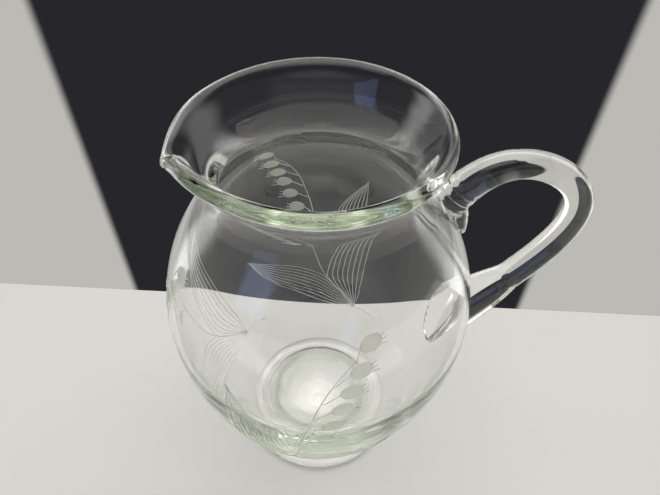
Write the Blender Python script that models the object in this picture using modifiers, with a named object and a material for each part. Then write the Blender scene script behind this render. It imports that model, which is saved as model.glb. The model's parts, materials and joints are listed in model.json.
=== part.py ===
"""Glass pitcher: a blown bowl with a pulled spout, a disc foot and an applied rod handle.

Metres, +Z up. The origin is the centre of the foot's underside. The spout points to -X
and the handle to +X. Hot glass is laid on hot glass, so nothing on it moves; each gather
is its own solid, and a thin seam parts it from the next one.
"""
import math

import bmesh
import bpy
from mathutils import Vector

# Bowl: an egg-shaped body, a waisted neck and a flared, rolled lip
OVERALL_HEIGHT = 0.217
BODY_RADIUS = 0.076           # outside, at the widest level
BODY_WIDEST_Z = 0.114
LOWER_FULLNESS = 1.78         # exponent of the lower half of the egg; 2 makes an ellipse
UPPER_FULLNESS = 1.86
EGG_CLOSES_BELOW_TOP = 0.012  # where the egg's upper half would close without a neck
SHOULDER_BELOW_TOP = 0.038    # where the shoulder leaves the egg for the neck
NECK_BELOW_TOP = 0.0205
NECK_RADIUS = 0.0449          # outside, at the waist
MOUTH_RADIUS = 0.0538         # outside, at the lip
LIP_THICKNESS = 0.0068
LIP_FLARE = math.radians(52)  # slope of the neck's outer side where it enters the lip
WALL_SIDE = 0.0030
WALL_THIN_BELOW_TOP = 0.0500  # where the wall starts to thicken towards the lip
WALL_LOW = 0.0090             # the glass gathers towards the bottom
WALL_GATHER = 1.2
BOTTOM_THICKNESS = 0.0062

# Spout: one side of the lip swells outwards, and its middle is pulled out and down
SPOUT_SWELL = 0.0052
SPOUT_SWELL_ANGLE = math.radians(38)
SPOUT_REACH = 0.0040
SPOUT_DROP = 0.0112
SPOUT_HALF_ANGLE = math.radians(9)
SPOUT_TIP_ROUND = math.radians(2)
SPOUT_DEPTH = 0.032           # how far below the top the pull starts

# Foot: a disc pressed on under the body
FOOT_RADIUS = 0.0460
FOOT_HEIGHT = 0.0110
FOOT_EDGE = 0.0050
STEM_RADIUS = 0.0300          # where body and foot meet

# Handle: a rod drawn from a broad seat low on the body to a crimped end on the shoulder
ROD_RADIUS = 0.0065
HANDLE_REACH = 0.0465         # rod axis beyond the body's widest
HANDLE_TOP_BELOW_TOP = 0.0255
HANDLE_OUT_BELOW_TOP = 0.0560
UPPER_SEAT_BELOW_TOP = 0.0470
UPPER_SEAT_RADIUS = 0.0088
LOWER_SEAT_BELOW_WIDEST = 0.0310
LOWER_SEAT_RADIUS = 0.0190
TAIL_LENGTH = 0.0170
TAIL_RADIUS = 0.0036
CROWN_SHARE = 0.44            # where the rod crests, between the upper seat and its furthest reach
STRAIGHT_SHARE = (0.55, 0.42)  # end of the straight run, out and up from the lower seat
UPPER_WAY = (0.50, 0.85)      # ways the rod runs, as (x, z): off the shoulder,
STRAIGHT_WAY = (-0.62, -0.78)  # down the straight run
LOWER_WAY = (-0.80, -0.55)    # and into the lower seat

SEAM = 0.0003                 # gap between two gathers of glass
SEGMENTS = 72
MERGE = 0.00005

LOWER_SHARE = (1 - (STEM_RADIUS / BODY_RADIUS) ** 2) ** (1 / LOWER_FULLNESS)
LOWER_LENGTH = (BODY_WIDEST_Z - FOOT_HEIGHT) / LOWER_SHARE
UPPER_LENGTH = OVERALL_HEIGHT - EGG_CLOSES_BELOW_TOP - BODY_WIDEST_Z
SHOULDER_Z = OVERALL_HEIGHT - SHOULDER_BELOW_TOP
NECK_Z = OVERALL_HEIGHT - NECK_BELOW_TOP
ROLL = LIP_THICKNESS / 2


def clear_scene():
    for thing in list(bpy.data.objects):
        bpy.data.objects.remove(thing, do_unlink=True)


def new_collection(name):
    group = bpy.data.collections.new(name)
    bpy.context.scene.collection.children.link(group)
    return group


def add_object(name, mesh, group):
    thing = bpy.data.objects.new(name, mesh)
    group.objects.link(thing)
    return thing


def glass(name, colour):
    material = bpy.data.materials.new(name)
    material.use_nodes = True
    shader = material.node_tree.nodes["Principled BSDF"]
    shader.inputs["Base Color"].default_value = (*colour, 1)
    shader.inputs["Roughness"].default_value = 0.03
    shader.inputs["Metallic"].default_value = 0
    shader.inputs["IOR"].default_value = 1.5
    shader.inputs["Transmission Weight"].default_value = 0.9
    return material


# ---- outline of the bowl, as (radius, height) points ----

def egg_radius(z):
    """Outside radius of the egg-shaped body at a height."""
    if z < BODY_WIDEST_Z:
        share = (BODY_WIDEST_Z - z) / LOWER_LENGTH
        return BODY_RADIUS * math.sqrt(1 - share ** LOWER_FULLNESS)
    share = (z - BODY_WIDEST_Z) / UPPER_LENGTH
    return BODY_RADIUS * math.sqrt(1 - share ** UPPER_FULLNESS)


def egg_points(below, above):
    """Points up the egg, from the stem past the widest level to the shoulder."""
    points = []
    for i in range(below):
        z = BODY_WIDEST_Z - (BODY_WIDEST_Z - FOOT_HEIGHT) * math.cos(math.pi / 2 * i / below)
        points.append(Vector((egg_radius(z), z)))
    for i in range(above + 1):
        z = BODY_WIDEST_Z + (SHOULDER_Z - BODY_WIDEST_Z) * i / above
        points.append(Vector((egg_radius(z), z)))
    return points


def bend(start, start_way, end, end_way, count):
    """Points along a smooth curve between two points, without the first one."""
    pull = (end - start).length / 3
    knots = (start, start + start_way * pull, end - end_way * pull, end)
    points = []
    for i in range(1, count + 1):
        t = i / count
        weights = ((1 - t) ** 3, 3 * t * (1 - t) ** 2, 3 * t * t * (1 - t), t ** 3)
        points.append(sum((knot * w for knot, w in zip(knots, weights)), Vector((0, 0))))
    return points


def outer_points():
    """The outside, from the stem up to where the lip's roll begins."""
    body = egg_points(9, 6)
    step = 0.0001
    rise = Vector((egg_radius(SHOULDER_Z + step) - egg_radius(SHOULDER_Z - step), 2 * step))
    flare = Vector((math.cos(LIP_FLARE), math.sin(LIP_FLARE)))
    outwards = Vector((flare.y, -flare.x))
    waist = Vector((NECK_RADIUS, NECK_Z))
    roll_centre = Vector((MOUTH_RADIUS - ROLL, OVERALL_HEIGHT - ROLL))
    up = Vector((0, 1))
    neck = bend(body[-1], rise.normalized(), waist, up, 4)
    throat = bend(waist, up, roll_centre + outwards * ROLL, flare, 5)
    return body + neck + throat


def wall_at(point):
    """Wall thickness: thick at the bottom, thinnest on the shoulder, swelling into the lip."""
    if point.y < BODY_WIDEST_Z:
        share = (BODY_WIDEST_Z - point.y) / (BODY_WIDEST_Z - FOOT_HEIGHT)
        return WALL_SIDE + (WALL_LOW - WALL_SIDE) * share ** WALL_GATHER
    thin_z = OVERALL_HEIGHT - WALL_THIN_BELOW_TOP
    share = max(0, min(1, (point.y - thin_z) / (OVERALL_HEIGHT - LIP_THICKNESS - thin_z)))
    return WALL_SIDE + (LIP_THICKNESS - WALL_SIDE) * share ** 1.8


def inner_points(outside):
    """The inside, top to bottom: the outside moved in by the wall, then the rounded bottom."""
    points = []
    for i in range(len(outside) - 2, -1, -1):
        before = outside[max(i - 1, 0)]
        along = (outside[i + 1] - before).normalized()
        inwards = Vector((-along.y, along.x))
        points.append(outside[i] + inwards * wall_at(outside[i]))
    floor = Vector((0, FOOT_HEIGHT + BOTTOM_THICKNESS))
    way = (points[-1] - points[-2]).normalized()
    return points + bend(points[-1], way, floor, Vector((-1, 0)), 5)


def bowl_section():
    """Closed half-section of the bowl: up the inside, over the lip, down the outside."""
    outside = outer_points()
    inside = inner_points(outside)
    roll_centre = Vector((MOUTH_RADIUS - ROLL, OVERALL_HEIGHT - ROLL))
    flare_side = outside[-1] - roll_centre
    start = math.atan2(flare_side.y, flare_side.x)
    over_top = [start + math.pi, (start + math.pi * 1.5) / 2, math.pi / 2]
    down_outside = [math.pi / 2 + (start - math.pi / 2) * i / 4 for i in range(1, 4)]
    lip = []
    for angle in over_top + down_outside:
        lip.append(roll_centre + Vector((math.cos(angle), math.sin(angle))) * ROLL)
    return inside[::-1] + lip + outside[::-1] + [Vector((0, FOOT_HEIGHT))]


def pull_spout(mesh):
    """Draw the lip out and down towards -X, less and less towards the sides and the neck."""
    start_z = OVERALL_HEIGHT - SPOUT_DEPTH
    full_z = OVERALL_HEIGHT - LIP_THICKNESS
    for vertex in mesh.vertices:
        radius = math.hypot(vertex.co.x, vertex.co.y)
        if vertex.co.z < start_z or radius < NECK_RADIUS / 2:
            continue
        aside = abs(math.atan2(vertex.co.y, -vertex.co.x))
        swell = SPOUT_SWELL * math.exp(-(aside / SPOUT_SWELL_ANGLE) ** 2)
        spread = math.hypot(aside, SPOUT_TIP_ROUND) - SPOUT_TIP_ROUND
        pull = math.exp(-spread / SPOUT_HALF_ANGLE)
        rise = min(1, (vertex.co.z - start_z) / (full_z - start_z))
        upwards = rise * rise * (3 - 2 * rise)
        grown = 1 + (swell + SPOUT_REACH * pull) * upwards / radius
        vertex.co.x *= grown
        vertex.co.y *= grown
        vertex.co.z -= SPOUT_DROP * pull * upwards


# ---- turning, seating and joining ----

def turn(name, section, group):
    """Spin a half-section round Z with a Screw modifier and return the finished mesh object."""
    mesh = bpy.data.meshes.new(name)
    corners = [(point.x, 0, point.y) for point in section]
    mesh.from_pydata(corners, [(i, i + 1) for i in range(len(corners) - 1)], [])
    thing = add_object(name, mesh, group)
    screw = thing.modifiers.new("turn", "SCREW")
    screw.axis = "Z"
    screw.steps = SEGMENTS
    screw.render_steps = SEGMENTS
    screw.use_merge_vertices = True
    screw.merge_threshold = MERGE
    return settle(thing)


def settle(thing):
    """Replace an object's mesh or curve with what its modifiers make, doubles welded."""
    bpy.context.view_layer.update()
    seen = thing.evaluated_get(bpy.context.evaluated_depsgraph_get())
    mesh = bpy.data.meshes.new_from_object(seen)
    welded = bmesh.new()
    welded.from_mesh(mesh)
    bmesh.ops.remove_doubles(welded, verts=welded.verts, dist=MERGE)
    welded.to_mesh(mesh)
    welded.free()
    made = bpy.data.objects.new(thing.name, mesh)
    made.matrix_world = thing.matrix_world.copy()
    group = thing.users_collection[0]
    name = thing.name
    bpy.data.objects.remove(thing, do_unlink=True)
    group.objects.link(made)
    made.name = name
    return made


def rod(name, knots, group):
    """A tapered glass rod in the XZ plane. A knot is (x, z, way x, way z, pull, radius)."""
    curve = bpy.data.curves.new(name, "CURVE")
    curve.dimensions = "3D"
    curve.bevel_depth = 1
    curve.bevel_resolution = 5
    curve.resolution_u = 7
    curve.use_fill_caps = True
    spline = curve.splines.new("BEZIER")
    spline.bezier_points.add(len(knots) - 1)
    for point, (x, z, way_x, way_z, pull, radius) in zip(spline.bezier_points, knots):
        way = Vector((way_x, 0, way_z)).normalized() * pull
        place = Vector((x, 0, z))
        point.handle_left_type = "FREE"
        point.handle_right_type = "FREE"
        point.co = place
        point.handle_left = place - way
        point.handle_right = place + way
        point.radius = radius
    return settle(add_object(name, curve, group))


def boolean(thing, other, operation):
    step = thing.modifiers.new(other.name, "BOOLEAN")
    step.object = other
    step.operation = operation
    step.solver = "EXACT"


def cutter(thing):
    thing.hide_render = True
    thing.display_type = "WIRE"
    return thing


def shade(thing, material):
    thing.data.materials.append(material)
    thing.data.shade_smooth()
    thing.data.set_sharp_from_angle(angle=math.radians(40))


# ---- the pieces ----

def make_bowl(group):
    bowl = turn("bowl", bowl_section(), group)
    pull_spout(bowl.data)
    shade(bowl, glass("bowl_glass", (0.86, 0.93, 0.86)))
    return bowl


def make_foot(group):
    """A disc with a rounded edge and a swept top, flat where body and table meet it."""
    top = FOOT_HEIGHT - SEAM
    edge = FOOT_EDGE / 2
    section = [Vector((0, top)), Vector((STEM_RADIUS, top))]
    shelf = Vector((FOOT_RADIUS - edge, FOOT_EDGE))
    section += bend(section[-1], Vector((0.5, -0.85)).normalized(), shelf, Vector((1, 0)), 5)
    for i in range(1, 7):
        turn_by = math.radians(90 - 30 * i)
        section.append(shelf + Vector((math.cos(turn_by), math.sin(turn_by) - 1)) * edge)
    section.append(Vector((0, 0)))
    foot = turn("foot", section, group)
    shade(foot, glass("foot_glass", (0.84, 0.92, 0.84)))
    return foot


def bowl_envelope(group):
    """The bowl's outside grown by the seam, filled solid: it seats the handle."""
    outside = outer_points()
    section = [Vector((0, OVERALL_HEIGHT + SEAM)), Vector((MOUTH_RADIUS + SEAM, OVERALL_HEIGHT + SEAM))]
    for i in range(len(outside) - 2, 0, -1):
        along = (outside[i + 1] - outside[i - 1]).normalized()
        section.append(outside[i] + Vector((along.y, -along.x)) * SEAM)
    section += [Vector((STEM_RADIUS, FOOT_HEIGHT)), Vector((0, FOOT_HEIGHT))]
    return cutter(turn("bowl_envelope", section, group))


def make_handle(group, cutters):
    """The rod, its crimped upper end with a folded tail, and its broad lower seat."""
    upper_z = OVERALL_HEIGHT - UPPER_SEAT_BELOW_TOP
    lower_z = BODY_WIDEST_Z - LOWER_SEAT_BELOW_WIDEST
    crown_z = OVERALL_HEIGHT - HANDLE_TOP_BELOW_TOP
    out_z = OVERALL_HEIGHT - HANDLE_OUT_BELOW_TOP
    upper_x = egg_radius(upper_z)
    lower_x = egg_radius(lower_z)
    out_x = BODY_RADIUS + HANDLE_REACH
    crown_x = upper_x + (out_x - upper_x) * CROWN_SHARE
    straight_x = lower_x + (out_x - lower_x) * STRAIGHT_SHARE[0]
    straight_z = lower_z + (out_z - lower_z) * STRAIGHT_SHARE[1]
    sunk = WALL_SIDE / 2
    handle = rod("handle", (
        (upper_x - sunk * 1.5, upper_z - sunk, *UPPER_WAY, 0.013, UPPER_SEAT_RADIUS),
        (crown_x, crown_z, 1, 0, 0.015, ROD_RADIUS),
        (out_x, out_z, 0, -1, 0.017, ROD_RADIUS),
        (straight_x, straight_z, *STRAIGHT_WAY, 0.013, ROD_RADIUS * 1.12),
        (lower_x - LOWER_SEAT_RADIUS, lower_z - ROD_RADIUS, *LOWER_WAY, 0.010, LOWER_SEAT_RADIUS),
    ), group)
    tail_x = egg_radius(upper_z - TAIL_LENGTH)
    tail = cutter(rod("handle_tail", (
        (upper_x + ROD_RADIUS * 0.4, upper_z + ROD_RADIUS * 0.3, 0.4, -0.9, 0.006, ROD_RADIUS * 0.9),
        (tail_x, upper_z - TAIL_LENGTH, 0.2, -0.98, 0.008, TAIL_RADIUS),
    ), cutters))
    boolean(handle, tail, "UNION")
    boolean(handle, bowl_envelope(cutters), "DIFFERENCE")
    shade(handle, glass("handle_glass", (0.85, 0.92, 0.86)))
    return handle


clear_scene()
pitcher = new_collection("pitcher")
tools = new_collection("cutters")
make_bowl(pitcher)
make_foot(pitcher)
make_handle(pitcher, tools)
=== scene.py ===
"""A hand-made clear glass pitcher on a pale table: a blown bowl with a flared lip and a pulled
spout, a disc foot, an applied rod handle, and three engraved sprays of bell flowers.
Metres, +Z up; the spout points to -X and the handle to +X.
"""

import json
import math

import bpy
from mathutils import Euler, Matrix, Vector

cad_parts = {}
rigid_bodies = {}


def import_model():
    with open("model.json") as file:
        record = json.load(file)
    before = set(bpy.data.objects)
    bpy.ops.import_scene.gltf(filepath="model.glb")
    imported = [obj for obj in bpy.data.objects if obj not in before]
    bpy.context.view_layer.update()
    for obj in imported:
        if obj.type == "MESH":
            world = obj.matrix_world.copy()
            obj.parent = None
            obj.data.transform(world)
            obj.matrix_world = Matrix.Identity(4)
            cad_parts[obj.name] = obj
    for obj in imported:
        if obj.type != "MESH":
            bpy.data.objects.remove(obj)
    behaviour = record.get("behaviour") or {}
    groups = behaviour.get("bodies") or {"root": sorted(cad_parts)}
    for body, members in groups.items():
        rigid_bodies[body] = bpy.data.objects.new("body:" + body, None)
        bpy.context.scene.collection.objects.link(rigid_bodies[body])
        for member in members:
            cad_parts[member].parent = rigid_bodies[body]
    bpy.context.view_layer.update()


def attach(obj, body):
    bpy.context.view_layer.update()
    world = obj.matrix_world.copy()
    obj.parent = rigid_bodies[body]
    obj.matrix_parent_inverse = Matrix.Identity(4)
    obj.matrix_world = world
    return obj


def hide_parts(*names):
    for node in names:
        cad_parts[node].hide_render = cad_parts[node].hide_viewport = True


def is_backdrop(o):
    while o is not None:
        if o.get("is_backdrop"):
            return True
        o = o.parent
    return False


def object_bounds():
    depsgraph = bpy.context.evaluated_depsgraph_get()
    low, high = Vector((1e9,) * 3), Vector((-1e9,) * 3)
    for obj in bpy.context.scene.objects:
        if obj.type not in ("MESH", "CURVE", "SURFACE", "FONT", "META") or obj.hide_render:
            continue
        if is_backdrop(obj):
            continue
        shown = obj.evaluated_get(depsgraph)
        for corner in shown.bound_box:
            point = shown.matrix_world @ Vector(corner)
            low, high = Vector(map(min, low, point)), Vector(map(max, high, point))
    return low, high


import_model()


# ---- Camera ----
# A handheld view from above the front edge of the table, a little to the left of the pitcher,
# looking down into its mouth.

CAMERA_PLACE = (-0.0171, -0.1803, 0.3411)
CAMERA_TILT = math.radians(43.125)
CAMERA_TURN = math.radians(-7.0)
CAMERA_ROLL = math.radians(1.267)
SENSOR_WIDTH = 36
LENS = 30.545

bpy.ops.object.camera_add(location=CAMERA_PLACE)
camera = bpy.context.object
level_view = Euler((CAMERA_TILT, 0, CAMERA_TURN)).to_matrix()
camera.rotation_euler = (level_view @ Matrix.Rotation(CAMERA_ROLL, 3, "Z")).to_euler()
camera.data.sensor_width = SENSOR_WIDTH
camera.data.lens = LENS
bpy.context.scene.camera = camera


# ---- Table, room and light ----
# A sheet of white paper whose far edge lies just behind the pitcher, with dark card standing
# beyond it. Around them are pale walls, brighter to the sides, a bright ceiling, the dim end of
# the room in front, and a window low on the left.

PAPER_BACK_EDGE = 0.084
PAPER_TURN = math.radians(-9)
PAPER_WIDTH = 3.0
PAPER_DROP = 0.0003  # keeps the foot's underside clear of the paper's plane
PAPER_COLOUR = (0.67, 0.66, 0.635, 1)
CARD_HALF_ANGLE = math.radians(29)
CARD_EDGE_BLUR = 0.01
CARD_COLOUR = (0.020, 0.020, 0.024, 1)
WALL_COLOUR = (0.50, 0.49, 0.46, 1)
SIDE_COLOUR = (1.8, 1.8, 1.76, 1)
CEILING_COLOUR = (2.10, 2.07, 2.00, 1)
DIM_COLOUR = (0.13, 0.13, 0.13, 1)
FRONT_COLOUR = (0.42, 0.41, 0.40, 1)
SHADE_COLOUR = (0.01, 0.01, 0.01, 1)

bpy.ops.object.select_all(action="DESELECT")
paper_middle = (0, PAPER_BACK_EDGE - PAPER_WIDTH / 2, -PAPER_DROP)
bpy.ops.mesh.primitive_plane_add(size=PAPER_WIDTH, location=paper_middle)
paper = bpy.context.object
paper.name = "paper"
bpy.ops.object.transform_apply(location=True, rotation=True, scale=True)
paper.data.transform(Matrix.Rotation(PAPER_TURN, 4, "Z"))
paper_finish = bpy.data.materials.new("white_paper")
paper_finish.use_nodes = True
shader = paper_finish.node_tree.nodes["Principled BSDF"]
shader.inputs["Base Color"].default_value = PAPER_COLOUR
shader.inputs["Roughness"].default_value = 0.8
shader.inputs["Specular IOR Level"].default_value = 0.2
paper.data.materials.append(paper_finish)
paper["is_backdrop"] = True

room = bpy.data.worlds.new("room")
bpy.context.scene.world = room
room.use_nodes = True
nodes = room.node_tree.nodes
links = room.node_tree.links
where = nodes.new("ShaderNodeTexCoord")
turned = nodes.new("ShaderNodeMapping")
turned.inputs["Rotation"].default_value = (0, 0, -CAMERA_TURN)
split = nodes.new("ShaderNodeSeparateXYZ")
bearing = nodes.new("ShaderNodeMath")
bearing.operation = "ARCTAN2"
aside = nodes.new("ShaderNodeMath")
aside.operation = "ABSOLUTE"
links.new(where.outputs["Generated"], turned.inputs["Vector"])
links.new(turned.outputs["Vector"], split.inputs[0])
links.new(split.outputs["X"], bearing.inputs[0])
links.new(split.outputs["Y"], bearing.inputs[1])
links.new(bearing.outputs[0], aside.inputs[0])


def fade(value, start, end):
    """0 before start, 1 after end, smooth between."""
    ramp = nodes.new("ShaderNodeMapRange")
    ramp.interpolation_type = "SMOOTHSTEP"
    ramp.inputs["From Min"].default_value = start
    ramp.inputs["From Max"].default_value = end
    links.new(value, ramp.inputs["Value"])
    return ramp.outputs[0]


def over(share, first, second):
    """The first colour where share is 0 and the second where it is 1."""
    blend = nodes.new("ShaderNodeMix")
    blend.data_type = "RGBA"
    for socket, colour in ((blend.inputs["A"], first), (blend.inputs["B"], second)):
        if isinstance(colour, tuple):
            socket.default_value = colour
        else:
            links.new(colour, socket)
    links.new(share, blend.inputs["Factor"])
    return blend.outputs["Result"]


bearing_off = aside.outputs[0]
upwards = split.outputs["Z"]
off_card = fade(bearing_off, CARD_HALF_ANGLE - CARD_EDGE_BLUR, CARD_HALF_ANGLE + CARD_EDGE_BLUR)
back = over(off_card, CARD_COLOUR, WALL_COLOUR)
back = over(fade(bearing_off, math.radians(52), math.radians(64)), back, SIDE_COLOUR)
to_right = fade(bearing.outputs[0], math.radians(-45), math.radians(-15))
high = over(to_right, SHADE_COLOUR, CEILING_COLOUR)
high = over(fade(upwards, 0.70, 0.92), high, CEILING_COLOUR)
back = over(fade(upwards, 0.48, 0.62), back, high)
front = over(fade(bearing_off, math.radians(120), math.radians(140)), DIM_COLOUR, FRONT_COLOUR)
front = over(fade(upwards, 0.12, 0.25), DIM_COLOUR, front)
front = over(fade(upwards, 0.45, 0.55), front, SHADE_COLOUR)
front = over(fade(upwards, 0.74, 0.94), front, CEILING_COLOUR)
room_colour = over(fade(bearing_off, math.radians(72), math.radians(86)), back, front)
links.new(room_colour, nodes["Background"].inputs["Color"])


WINDOW_PLACE = Vector((-1.0, -0.7, 0.55))
WINDOW_FACES = Vector((0, 0, 0.1))
WINDOW_WIDTH = 0.5
WINDOW_HEIGHT = 0.7
WINDOW_WATTS = 1.2
WINDOW_COLOUR = (0.35, 0.5, 1)

bpy.ops.object.light_add(type="AREA", location=WINDOW_PLACE)
window = bpy.context.object
window.name = "window"
window.rotation_euler = (WINDOW_FACES - WINDOW_PLACE).to_track_quat("-Z", "Y").to_euler()
window.data.shape = "RECTANGLE"
window.data.size = WINDOW_WIDTH
window.data.size_y = WINDOW_HEIGHT
window.data.energy = WINDOW_WATTS
window.data.color = WINDOW_COLOUR

bpy.context.scene.view_settings.view_transform = "Standard"
bpy.context.scene.cycles.max_bounces = 64
bpy.context.scene.cycles.transmission_bounces = 64
bpy.context.scene.cycles.glossy_bounces = 32
bpy.context.scene.cycles.diffuse_bounces = 4
bpy.context.scene.cycles.blur_glossy = 0


# ---- Bowl ----
# One bubble of soda-lime glass, blown and worked open: thick at the bottom where the glass
# gathers, about 3 mm up the side, with a waisted neck and a fire-polished, rolled lip. One side
# of the hot lip was pulled out and down for the spout.

HEIGHT = 0.217
BODY_RADIUS = 0.0757
WIDEST_Z = 0.114
LOWER_FULLNESS = 1.78
UPPER_FULLNESS = 1.86
EGG_CLOSES_Z = HEIGHT - 0.012
SHOULDER_Z = HEIGHT - 0.038
NECK_Z = HEIGHT - 0.0205
NECK_RADIUS = 0.0448
MOUTH_RADIUS = 0.0538
LIP_THICKNESS = 0.0068
LIP_FLARE = math.radians(52)
WALL_SIDE = 0.0030
WALL_THIN_Z = HEIGHT - 0.050  # where the wall starts to thicken towards the lip
WALL_LOW = 0.0090
WALL_GATHER = 1.2
BOTTOM_THICKNESS = 0.0062
STEM_RADIUS = 0.0300
STEM_Z = 0.0110
SPINS = 240

lower_share = (1 - (STEM_RADIUS / BODY_RADIUS) ** 2) ** (1 / LOWER_FULLNESS)
lower_length = (WIDEST_Z - STEM_Z) / lower_share
upper_length = EGG_CLOSES_Z - WIDEST_Z


def egg_radius(z):
    """Outside radius of the egg-shaped body at a height."""
    if z < WIDEST_Z:
        return BODY_RADIUS * math.sqrt(1 - ((WIDEST_Z - z) / lower_length) ** LOWER_FULLNESS)
    return BODY_RADIUS * math.sqrt(1 - ((z - WIDEST_Z) / upper_length) ** UPPER_FULLNESS)


def bend(start, start_way, end, end_way, count):
    """Points along a smooth curve between two points, without the first one."""
    pull = (end - start).length / 3
    knots = (start, start + start_way * pull, end - end_way * pull, end)
    points = []
    for i in range(1, count + 1):
        t = i / count
        weights = ((1 - t) ** 3, 3 * t * (1 - t) ** 2, 3 * t * t * (1 - t), t ** 3)
        points.append(sum((knot * w for knot, w in zip(knots, weights)), Vector((0, 0))))
    return points


def bowl_outside():
    """The outside as (radius, height) points, from the stem to where the lip's roll begins."""
    points = []
    for i in range(40):
        z = WIDEST_Z - (WIDEST_Z - STEM_Z) * math.cos(math.pi / 2 * i / 40)
        points.append(Vector((egg_radius(z), z)))
    for i in range(25):
        z = WIDEST_Z + (SHOULDER_Z - WIDEST_Z) * i / 24
        points.append(Vector((egg_radius(z), z)))
    rise = Vector((egg_radius(SHOULDER_Z + 0.0001) - egg_radius(SHOULDER_Z - 0.0001), 0.0002))
    flare = Vector((math.cos(LIP_FLARE), math.sin(LIP_FLARE)))
    waist = Vector((NECK_RADIUS, NECK_Z))
    roll = LIP_THICKNESS / 2
    lip_foot = Vector((MOUTH_RADIUS - roll, HEIGHT - roll)) + Vector((flare.y, -flare.x)) * roll
    points += bend(points[-1], rise.normalized(), waist, Vector((0, 1)), 16)
    return points + bend(waist, Vector((0, 1)), lip_foot, flare, 18)


def wall_at(z):
    """Thickness of the wall at a height: thick below, even up the side, swelling into the lip."""
    if z < WIDEST_Z:
        share = (WIDEST_Z - z) / (WIDEST_Z - STEM_Z)
        return WALL_SIDE + (WALL_LOW - WALL_SIDE) * share ** WALL_GATHER
    share = max(0, min(1, (z - WALL_THIN_Z) / (HEIGHT - LIP_THICKNESS - WALL_THIN_Z)))
    return WALL_SIDE + (LIP_THICKNESS - WALL_SIDE) * share ** 1.8


outside = bowl_outside()


def bowl_section():
    """The whole section: from the axis up the inside, over the lip and down to the stem."""
    inside = []
    for i in range(len(outside) - 2, -1, -1):
        along = (outside[i + 1] - outside[max(i - 1, 0)]).normalized()
        inside.append(outside[i] + Vector((-along.y, along.x)) * wall_at(outside[i].y))
    floor = Vector((0, STEM_Z + BOTTOM_THICKNESS))
    way = (inside[-1] - inside[-2]).normalized()
    inside += bend(inside[-1], way, floor, Vector((-1, 0)), 16)
    roll = LIP_THICKNESS / 2
    centre = Vector((MOUTH_RADIUS - roll, HEIGHT - roll))
    start = LIP_FLARE - math.pi / 2
    lip = []
    for i in range(1, 20):
        angle = start + math.pi * (1 - i / 20)
        lip.append(centre + Vector((math.cos(angle), math.sin(angle))) * roll)
    return inside[::-1] + lip + outside[::-1] + [Vector((0, STEM_Z))]


def draw_section(name, section):
    """Draw a section as a chain of edges: one vertex, extruded from point to point."""
    bpy.ops.object.select_all(action="DESELECT")
    bpy.ops.mesh.primitive_plane_add(size=0.01, location=(section[0].x, 0, section[0].y))
    piece = bpy.context.object
    piece.name = name
    bpy.ops.object.transform_apply(location=True, rotation=True, scale=True)
    bpy.ops.object.mode_set(mode="EDIT")
    bpy.ops.mesh.select_all(action="SELECT")
    bpy.ops.mesh.merge(type="CENTER")
    for here, there in zip(section, section[1:]):
        step = (there.x - here.x, 0, there.y - here.y)
        bpy.ops.mesh.extrude_vertices_move(TRANSFORM_OT_translate={"value": step})
    return piece


def spin_round():
    """Spin the drawn section once round the axis, weld the ends and turn the faces outwards."""
    bpy.ops.mesh.select_all(action="SELECT")
    bpy.ops.mesh.spin(steps=SPINS, angle=2 * math.pi, center=(0, 0, 0), axis=(0, 0, 1))
    bpy.ops.mesh.select_all(action="SELECT")
    bpy.ops.mesh.remove_doubles(threshold=0.000002)
    bpy.ops.mesh.normals_make_consistent(inside=False)
    bpy.ops.object.mode_set(mode="OBJECT")


bowl = draw_section("bowl_blown", bowl_section())
spin_round()

SPOUT_SWELL = 0.0052
SPOUT_SWELL_ANGLE = math.radians(38)
SPOUT_REACH = 0.0040
SPOUT_DROP = 0.0112
SPOUT_HALF_ANGLE = math.radians(9)
SPOUT_TIP_ROUND = math.radians(2)
SPOUT_FOOT_Z = HEIGHT - 0.032

for vertex in bowl.data.vertices:
    radius = math.hypot(vertex.co.x, vertex.co.y)
    if vertex.co.z > SPOUT_FOOT_Z and radius > NECK_RADIUS / 2:
        aside_angle = abs(math.atan2(vertex.co.y, -vertex.co.x))
        swell = SPOUT_SWELL * math.exp(-(aside_angle / SPOUT_SWELL_ANGLE) ** 2)
        spread = math.hypot(aside_angle, SPOUT_TIP_ROUND) - SPOUT_TIP_ROUND
        pull = math.exp(-spread / SPOUT_HALF_ANGLE)
        rise = min(1, (vertex.co.z - SPOUT_FOOT_Z) / (HEIGHT - LIP_THICKNESS - SPOUT_FOOT_Z))
        upwards = rise * rise * (3 - 2 * rise)
        grown = 1 + (swell + SPOUT_REACH * pull) * upwards / radius
        vertex.co.x *= grown
        vertex.co.y *= grown
        vertex.co.z -= SPOUT_DROP * pull * upwards


GLASS_TINT = (0.61, 0.79, 0.42, 1)
GLASS_DENSITY = 2.4


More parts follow.
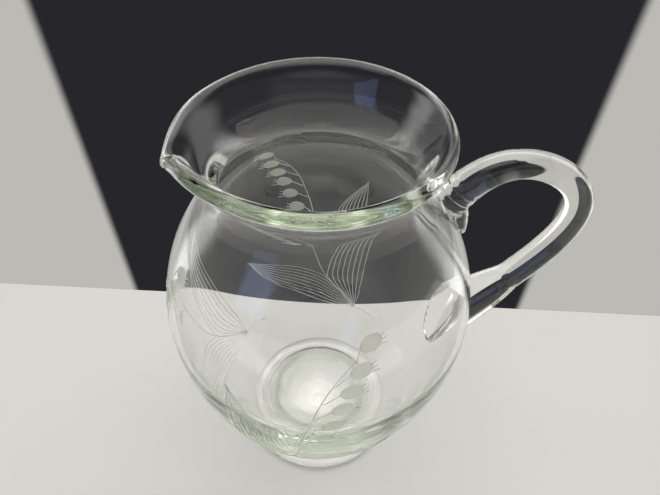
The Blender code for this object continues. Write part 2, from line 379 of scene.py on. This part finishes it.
def clear_glass(name):
    """Clear glass whose colour deepens with its thickness, and whose skin waves a little."""
    finish = bpy.data.materials.new(name)
    finish.use_nodes = True
    nodes = finish.node_tree.nodes
    links = finish.node_tree.links
    shader = nodes["Principled BSDF"]
    shader.inputs["Base Color"].default_value = (1, 1, 1, 1)
    shader.inputs["Roughness"].default_value = 0.0
    shader.inputs["IOR"].default_value = 1.5
    shader.inputs["Transmission Weight"].default_value = 1.0
    where = nodes.new("ShaderNodeTexCoord")
    waves = nodes.new("ShaderNodeTexNoise")
    waves.inputs["Scale"].default_value = 30
    waves.inputs["Detail"].default_value = 0
    links.new(where.outputs["Object"], waves.inputs["Vector"])
    skin = nodes.new("ShaderNodeBump")
    skin.inputs["Strength"].default_value = 0.02
    skin.inputs["Distance"].default_value = 0.0005
    links.new(waves.outputs["Fac"], skin.inputs["Height"])
    links.new(skin.outputs["Normal"], shader.inputs["Normal"])
    body = nodes.new("ShaderNodeVolumeAbsorption")
    body.inputs["Color"].default_value = GLASS_TINT
    body.inputs["Density"].default_value = GLASS_DENSITY
    links.new(body.outputs["Volume"], nodes["Material Output"].inputs["Volume"])
    return finish


def hand_in(piece, node, finish):
    """Give a finished piece its material and its body, and hide the node it stands in for."""
    piece.data.materials.clear()
    piece.data.materials.append(finish)
    bpy.ops.object.select_all(action="DESELECT")
    piece.select_set(True)
    bpy.context.view_layer.objects.active = piece
    bpy.ops.object.shade_smooth()
    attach(piece, "root")
    if node:
        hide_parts(node)


hand_in(bowl, "bowl", clear_glass("bowl_glass"))


# ---- Foot ----
# A second gather of glass pressed on under the body and tooled to a disc with a rounded rim; it
# stands on a flat ring round the shallow hollow where the pontil rod was ground away.

FOOT_RADIUS = 0.0460
FOOT_EDGE = 0.0050
FOOT_SUNK = 0.0002
RECESS_RADIUS = 0.0355
RECESS_STEP = 0.0012
RECESS_DEPTH = 0.0012

foot_top = STEM_Z + FOOT_SUNK
rim = FOOT_EDGE / 2
shelf = Vector((FOOT_RADIUS - rim, FOOT_EDGE))
foot_section = [Vector((0, foot_top)), Vector((STEM_RADIUS, foot_top))]
foot_section += bend(foot_section[-1], Vector((0.05, -1)).normalized(), shelf, Vector((1, 0)), 18)
for i in range(1, 17):
    angle = math.radians(90 - 180 * i / 16)
    foot_section.append(shelf + Vector((math.cos(angle), math.sin(angle) - 1)) * rim)
recess_edge = Vector((RECESS_RADIUS + RECESS_STEP, 0))
foot_section.append(recess_edge)
recess_top = Vector((RECESS_RADIUS, RECESS_DEPTH))
foot_section += bend(recess_edge, Vector((-0.5, 1)).normalized(), recess_top, Vector((-1, 0)), 10)
foot_section.append(Vector((0, RECESS_DEPTH)))
foot = draw_section("foot_pressed", foot_section)
spin_round()
hand_in(foot, "foot", clear_glass("foot_glass"))


# ---- Handle ----
# A solid glass rod drawn hot from a broad seat low on the body, up and over, and pressed on
# the shoulder, where the crimping tool left ribs and the cut end is folded down as a tail.

ROD_RADIUS = 0.0065
HANDLE_SUNK = 0.0002
UPPER_WAY = (0.50, 0.85)

upper_z = HEIGHT - 0.047
lower_z = WIDEST_Z - 0.031
upper_x = egg_radius(upper_z)
lower_x = egg_radius(lower_z)
out_x = 0.1223
crown_x = upper_x + (out_x - upper_x) * 0.44
out_z = HEIGHT - 0.0560
crown_z = HEIGHT - 0.0255
straight_x = lower_x + (out_x - lower_x) * 0.55
straight_z = lower_z + (out_z - lower_z) * 0.42


def glass_rod(name, knots):
    """A drawn rod through knots of (x, z, way x, way z, pull, radius), turned into a mesh."""
    bpy.ops.object.select_all(action="DESELECT")
    bpy.ops.curve.primitive_bezier_curve_add(location=(0, 0, 0))
    curve = bpy.context.object
    curve.name = name
    curve.data.bevel_depth = 1
    curve.data.bevel_resolution = 14
    curve.data.resolution_u = 64
    curve.data.use_fill_caps = True
    spline = curve.data.splines[0]
    spline.bezier_points.add(len(knots) - 2)
    for point, (x, z, way_x, way_z, pull, radius) in zip(spline.bezier_points, knots):
        way = Vector((way_x, 0, way_z)).normalized() * pull
        place = Vector((x, 0, z))
        point.handle_left_type = "FREE"
        point.handle_right_type = "FREE"
        point.co = place
        point.handle_left = place - way
        point.handle_right = place + way
        point.radius = radius
    bpy.ops.object.convert(target="MESH")
    return bpy.context.object


def cut(piece, other, operation):
    """Join the other form to the piece or cut it out, and remove the form."""
    step = piece.modifiers.new(other.name, "BOOLEAN")
    step.object = other
    step.operation = operation
    step.solver = "EXACT"
    bpy.context.view_layer.objects.active = piece
    bpy.ops.object.modifier_apply(modifier=step.name)
    bpy.data.objects.remove(other, do_unlink=True)


handle = glass_rod("handle_drawn", (
    (upper_x - 0.0024, upper_z - 0.0016, *UPPER_WAY, 0.013, 0.0086),
    (crown_x, crown_z, 1, 0, 0.015, ROD_RADIUS),
    (out_x, out_z, 0, -1, 0.017, ROD_RADIUS),
    (straight_x, straight_z, -0.62, -0.78, 0.013, ROD_RADIUS * 1.12),
    (lower_x - 0.019, lower_z - ROD_RADIUS, -0.80, -0.55, 0.010, 0.0188),
))
tail = glass_rod("handle_tail", (
    (upper_x + 0.0026, upper_z + 0.0020, 0.4, -0.9, 0.006, ROD_RADIUS * 0.9),
    (egg_radius(upper_z - 0.013), upper_z - 0.013, 0.2, -0.98, 0.005, 0.0040),
    (egg_radius(upper_z - 0.017) + 0.0006, upper_z - 0.017, 0.3, -0.95, 0.002, 0.0018),
))
cut(handle, tail, "UNION")
envelope = []
for i in range(len(outside) - 2, 0, -1):
    along = (outside[i + 1] - outside[i - 1]).normalized()
    envelope.append(outside[i] - Vector((along.y, -along.x)) * HANDLE_SUNK)
envelope = [Vector((0, envelope[0].y))] + envelope + [Vector((0, envelope[-1].y))]
body_form = draw_section("body_form", envelope)
spin_round()
cut(handle, body_form, "DIFFERENCE")

# the crimping tool's ribs, round the rod where it leaves the shoulder
RIB_SPACING = 0.0040
RIB_DEPTH = 0.0006
RIB_REACH = 0.0150
seat = Vector((upper_x, 0, upper_z))
seat_way = Vector((UPPER_WAY[0], 0, UPPER_WAY[1])).normalized()
for vertex in handle.data.vertices:
    off_seat = vertex.co - seat
    off_bowl = math.hypot(vertex.co.x, vertex.co.y) - egg_radius(min(vertex.co.z, SHOULDER_Z))
    if off_seat.length < RIB_REACH and off_bowl > 0:
        strength = min(1, off_bowl / 0.003) * (1 - off_seat.length / RIB_REACH)
        wave = math.sin(2 * math.pi * off_seat.dot(seat_way) / RIB_SPACING)
        vertex.co += vertex.normal * RIB_DEPTH * wave * strength
hand_in(handle, "handle", clear_glass("handle_glass"))


# ---- Engraved sprays ----
# Three sprays of bell flowers, cut matte into the outside of the bowl with a small wheel: two
# leaves drawn in fine lines, and an arching stem with six frosted bells.

SPRAY_TURNS = (59, 147, 230)
LINE_RADIUS = 0.00023


def on_wall(turn, z, proud=0.0):
    """A point on the bowl's outside at a turn round the axis (degrees) and a height (mm)."""
    z = z / 1000
    for below, above in zip(outside, outside[1:]):
        if below.y <= z <= above.y:
            break
    share = (z - below.y) / (above.y - below.y)
    along = (above - below).normalized()
    place = below.lerp(above, share) + Vector((along.y, -along.x)) * proud
    angle = math.radians(turn)
    return Vector((place.x * math.cos(angle), place.x * math.sin(angle), place.y))


def smooth_line(knots, count):
    """Points of a smooth line through (turn, height) knots."""
    points = []
    for i in range(count + 1):
        t = i / count * (len(knots) - 1)
        k = min(int(t), len(knots) - 2)
        t -= k
        before = Vector(knots[max(k - 1, 0)])
        a = Vector(knots[k])
        b = Vector(knots[k + 1])
        after = Vector(knots[min(k + 2, len(knots) - 1)])
        way_a = (b - before) / 2
        way_b = (after - a) / 2
        points.append(a * (2 * t ** 3 - 3 * t * t + 1) + way_a * (t ** 3 - 2 * t * t + t)
                      + b * (3 * t * t - 2 * t ** 3) + way_b * (t ** 3 - t * t))
    return points


def leaf_lines(one_edge, other_edge, count):
    """The lines of a leaf: they part from one place, spread evenly between its edges and meet."""
    one = smooth_line(one_edge, 40)
    other = smooth_line(other_edge, 40)
    return [[a.lerp(b, line / (count - 1)) for a, b in zip(one, other)] for line in range(count)]


stem = smooth_line(((0, 40), (7, 44.5), (13.6, 51.5), (20.5, 61), (24.5, 70), (27, 84), (29, 104),
                    (31.5, 118), (35, 133), (40, 144.5), (47, 153.5)), 60)
stem_end = smooth_line(((0, 40), (-7, 40.2), (-13, 39.4), (-20, 38)), 16)
upright_leaf = leaf_lines(
    ((0, 40), (-0.5, 50), (1, 64), (2.2, 84), (3.2, 108), (2.9, 119), (2.5, 132)),
    ((0, 40), (13.5, 50.9), (20.5, 61), (20.5, 72), (18.5, 88), (15.2, 107), (2.5, 132)), 8)
long_leaf = leaf_lines(
    ((0, 40), (13.6, 51.7), (24, 63.4), (36, 71.5), (47, 75.7), (56, 79), (63, 83)),
    ((0, 40), (14, 39.2), (28, 42.8), (41, 49.5), (51, 58), (58.5, 69.5), (63, 83)), 9)
drawn = [stem, stem_end] + upright_leaf + long_leaf


def beside(turn, z, right, up):
    """The (turn, height) of a point so many millimetres to the right and up the wall."""
    low = on_wall(turn, z - 0.5)
    high = on_wall(turn, z + 0.5)
    steep = (high.z - low.z) / (high - low).length
    reach = math.hypot(low.x, low.y) * 1000
    return (turn + math.degrees(right / reach), z + up * steep)


BELLS = ((52.5, 159.5), (48.6, 148.8), (45, 139.3), (42, 129.7), (39.2, 118.5), (36.2, 107))
BELL_LENGTH = 4.7
BELL_WIDTH = 4.1
for turn, z in BELLS:
    side = next(point for point in stem if point.y >= z - 7)
    stalk_top = beside(turn, z, -BELL_LENGTH * 0.9, -0.8)
    drawn.append(smooth_line((beside(side.x, side.y, 0.6, 0), stalk_top), 8))
    for up in (-1.7, 0, 1.7):
        near = beside(turn, z, BELL_LENGTH * 0.75, up)
        far = beside(turn, z, BELL_LENGTH * 0.75 + 3.6 - 0.4 * up, up * 1.3 + 1.0)
        drawn.append(smooth_line((near, far), 8))

bpy.ops.object.select_all(action="DESELECT")
bpy.ops.curve.primitive_bezier_curve_add(location=(0, 0, 0))
spray = bpy.context.object
spray.name = "spray_lines_1"
spray.data.splines.clear()
spray.data.bevel_depth = LINE_RADIUS
spray.data.bevel_resolution = 1
spray.data.use_fill_caps = True
for line in drawn:
    spline = spray.data.splines.new("POLY")
    spline.points.add(len(line) - 1)
    for i, point in enumerate(line):
        share = i / (len(line) - 1)
        spline.points[i].co = (*on_wall(point[0], point[1]), 1)
        spline.points[i].radius = 0.45 + 0.55 * min(1, 6 * min(share, 1 - share))
bpy.ops.object.convert(target="MESH")
spray = bpy.context.object

frosted = bpy.data.materials.new("wheel_cut_matte")
frosted.use_nodes = True
shader = frosted.node_tree.nodes["Principled BSDF"]
shader.inputs["Base Color"].default_value = (0.96, 0.97, 0.92, 1)
where = frosted.node_tree.nodes.new("ShaderNodeTexCoord")
grain = frosted.node_tree.nodes.new("ShaderNodeTexNoise")
grain.inputs["Scale"].default_value = 1200
spread = frosted.node_tree.nodes.new("ShaderNodeMapRange")
spread.inputs["To Min"].default_value = 0.4
spread.inputs["To Max"].default_value = 0.7
frosted.node_tree.links.new(where.outputs["Object"], grain.inputs["Vector"])
frosted.node_tree.links.new(grain.outputs["Fac"], spread.inputs["Value"])
frosted.node_tree.links.new(spread.outputs["Result"], shader.inputs["Roughness"])
shader.inputs["IOR"].default_value = 1.3
shader.inputs["Transmission Weight"].default_value = 0.85

bpy.ops.object.select_all(action="DESELECT")
for turn, z in BELLS:
    bpy.ops.mesh.primitive_uv_sphere_add(segments=32, ring_count=12, radius=1, location=(0, 0, 0))
    bell = bpy.context.object
    for vertex in bell.data.vertices:
        flare = 0.92 + 0.1 * vertex.co.x
        tilt = 0.18 * vertex.co.x * BELL_LENGTH
        here = beside(turn, z, vertex.co.x * BELL_LENGTH, vertex.co.y * BELL_WIDTH * flare + tilt)
        vertex.co = on_wall(*here, vertex.co.z * 0.00016)
    bell.name = f"bell_{round(z)}"
bells = [thing for thing in bpy.context.scene.objects if thing.name.startswith("bell_")]
for bell in bells:
    bell.select_set(True)
bpy.context.view_layer.objects.active = bells[0]
bpy.ops.object.join()
bell_patch = bpy.context.object

for pattern, name in ((spray, "spray_leaves"), (bell_patch, "spray_bells")):
    for number, turn in enumerate(SPRAY_TURNS, 1):
        copy = pattern.copy()
        copy.data = pattern.data.copy()
        bpy.context.scene.collection.objects.link(copy)
        copy.name = f"{name}_{number}"
        copy.data.transform(Matrix.Rotation(math.radians(turn), 4, "Z"))
        hand_in(copy, None, frosted)
    bpy.data.objects.remove(pattern, do_unlink=True)


low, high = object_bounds()
